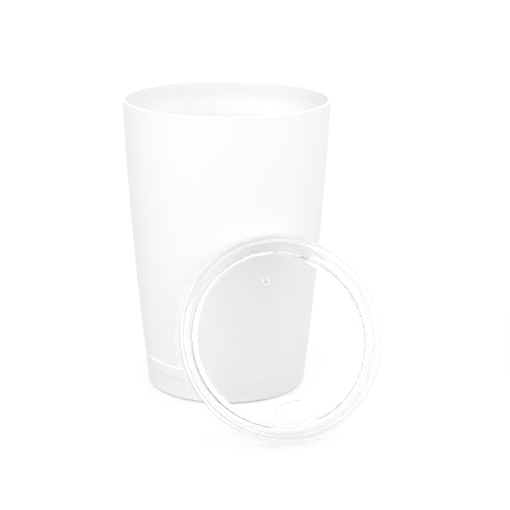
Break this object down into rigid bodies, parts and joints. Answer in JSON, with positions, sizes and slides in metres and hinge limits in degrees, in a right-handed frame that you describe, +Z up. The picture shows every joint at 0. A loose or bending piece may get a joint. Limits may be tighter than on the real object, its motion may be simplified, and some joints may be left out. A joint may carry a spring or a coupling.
{
  "type": "insulated tumbler with lid",
  "caption": "Tapered white double-wall tumbler with a rounded lip, and its clear press-in lid with an oval sip hole, taken off and leaning against the cup.",
  "frame": {"origin": "centre of the cup's foot, on the floor that it stands on", "axes": "+Z up along the cup's axis, out of its mouth; the lid leans on the cup's -Y side"},
  "size_m": [0.0936, 0.1316, 0.1255],
  "materials": {
    "white_coat": "satin powder coat on steel",
    "white_lining": "smooth white lining on steel",
    "bare_steel": "bare drawn sheet",
    "solder_glass": "fused bead",
    "getter_metal": "sintered",
    "copper_foil": "bright foil",
    "clear_plastic": "clear polished moulding",
    "clear_silicone": "translucent, smooth"
  },
  "bodies": {
    "cup": {"outer_wall": "white_coat", "foot_cap": "white_coat", "liner_wall": "white_lining", "liner_bottom": "white_lining", "vacuum_bottom": "bare_steel", "seal_bead": "solder_glass", "getter_pellet": "getter_metal", "getter_clip": "bare_steel", "foil_sleeve": "copper_foil", "foil_base": "copper_foil"},
    "lid": {"lid_shell": "clear_plastic", "lid_gasket": "clear_silicone"}
  },
  "joints": [
    {"name": "lid_lift", "type": "slide", "parent": "cup", "child": "lid", "axis": [0, -0.2588, 0.9659], "range_m": [0, 0.14]}
  ]
}
